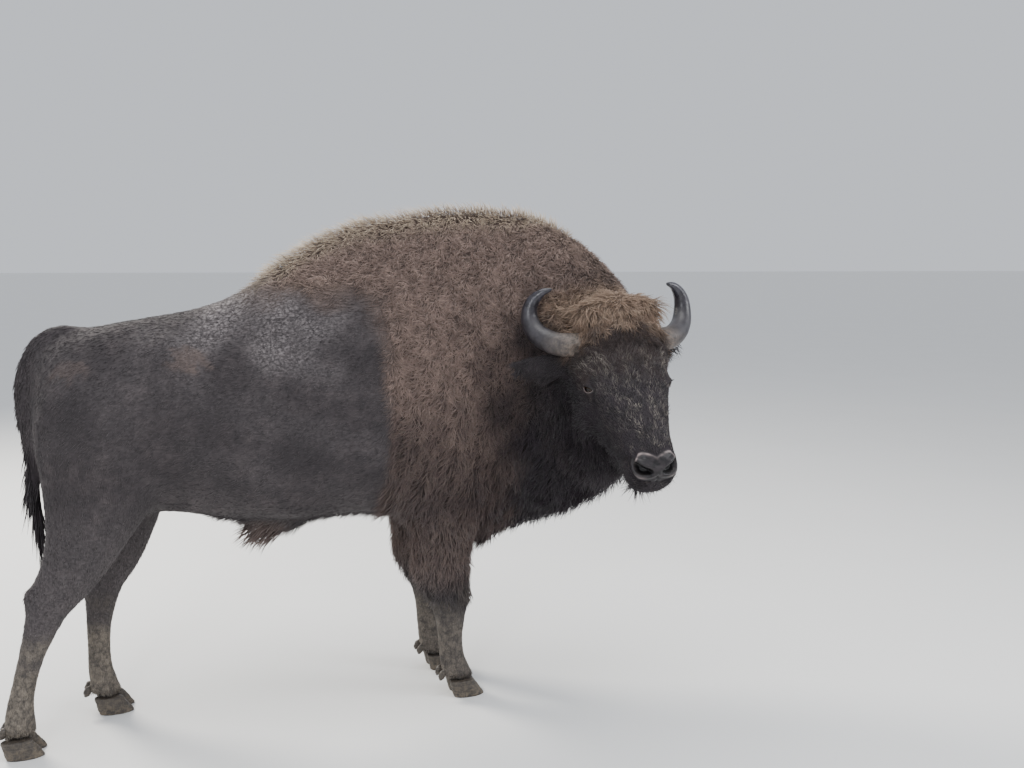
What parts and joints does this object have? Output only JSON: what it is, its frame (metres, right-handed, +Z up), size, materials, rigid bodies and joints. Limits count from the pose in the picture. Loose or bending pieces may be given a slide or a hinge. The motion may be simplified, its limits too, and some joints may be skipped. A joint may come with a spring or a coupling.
{
  "type": "european bison",
  "caption": "Life-size standing European bison bull with a high shaggy forequarter, head turned to its right, short curved horns and cloven hooves.",
  "frame": {"origin": "on the floor under the middle of the animal, the centre of the base of its bounding box", "axes": "+X towards the front of the animal, +Y towards its left side, +Z up"},
  "size_m": [2.408, 1.0964, 1.8341],
  "materials": {
    "long_coat": "matte",
    "short_coat": "matte",
    "head_coat": "matte",
    "horn": "satin",
    "hoof": "satin",
    "eye": "gloss"
  },
  "bodies": {
    "root": {"claw_front_left_inner": "hoof", "claw_front_left_outer": "hoof", "claw_front_right_inner": "hoof", "claw_front_right_outer": "hoof", "claw_hind_left_inner": "hoof", "claw_hind_left_outer": "hoof", "claw_hind_right_inner": "hoof", "claw_hind_right_outer": "hoof", "dewclaw_front_left_inner": "hoof", "dewclaw_front_left_outer": "hoof", "dewclaw_front_right_inner": "hoof", "dewclaw_front_right_outer": "hoof", "dewclaw_hind_left_inner": "hoof", "dewclaw_hind_left_outer": "hoof", "dewclaw_hind_right_inner": "hoof", "dewclaw_hind_right_outer": "hoof", "ear_left": "short_coat", "ear_right": "short_coat", "eye_left": "eye", "eye_right": "eye", "head": "head_coat", "horn_left": "horn", "horn_right": "horn", "leg_front_left": "short_coat", "leg_front_right": "short_coat", "leg_hind_left": "short_coat", "leg_hind_right": "short_coat", "neck": "long_coat", "tail_dock": "short_coat", "tail_switch": "short_coat", "trunk": "short_coat"}
  },
  "joints": []
}
